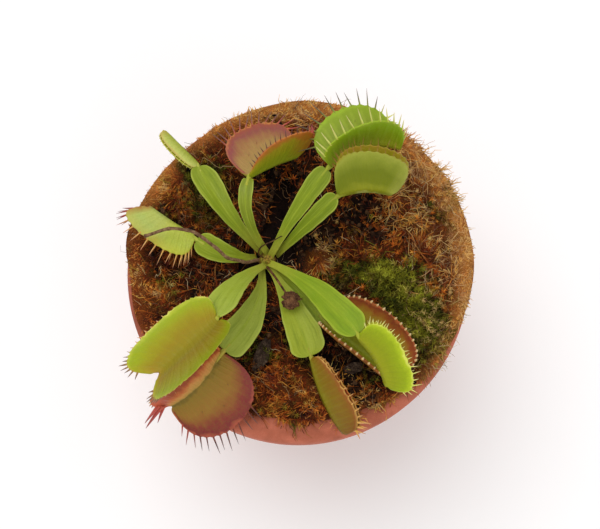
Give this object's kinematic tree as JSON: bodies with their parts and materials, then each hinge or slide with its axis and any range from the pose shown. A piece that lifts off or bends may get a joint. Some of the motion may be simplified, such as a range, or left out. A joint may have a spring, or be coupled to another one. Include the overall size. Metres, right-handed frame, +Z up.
{
  "type": "potted venus flytrap",
  "caption": "Venus flytrap in a plain clay pot: winged leaf stalks spread from a central crown over moss, each ending in a lobed snap trap edged with stiff spines.",
  "frame": {"origin": "middle of the pot's underside, which is also the bottom centre of the box round the whole object, within half a millimetre", "axes": "+Z up out of the pot's mouth; +Y towards the top of the picture, away from the viewer; +X towards its right"},
  "size_m": [0.1129, 0.113, 0.1388],
  "materials": {
    "terracotta": "matte",
    "dark_soil": "matte",
    "rust_moss": "matte",
    "green_moss": "matte",
    "leaf": "satin",
    "pale_crown": "satin",
    "dry_leaf": "matte"
  },
  "bodies": {
    "root": {"pot": "terracotta", "soil": "dark_soil", "moss_rust": "rust_moss", "moss_green": "green_moss", "dead_leaf_1": "dry_leaf", "dead_leaf_2": "dry_leaf", "crown": "pale_crown", "leaf_01": "leaf", "leaf_02": "leaf", "leaf_03": "leaf", "leaf_04": "leaf", "leaf_05": "leaf", "leaf_06": "leaf", "leaf_07": "leaf", "leaf_08": "leaf", "leaf_09": "leaf", "leaf_10": "leaf", "dry_flower_stalk": "dry_leaf", "withered_trap": "dry_leaf"}
  },
  "joints": []
}
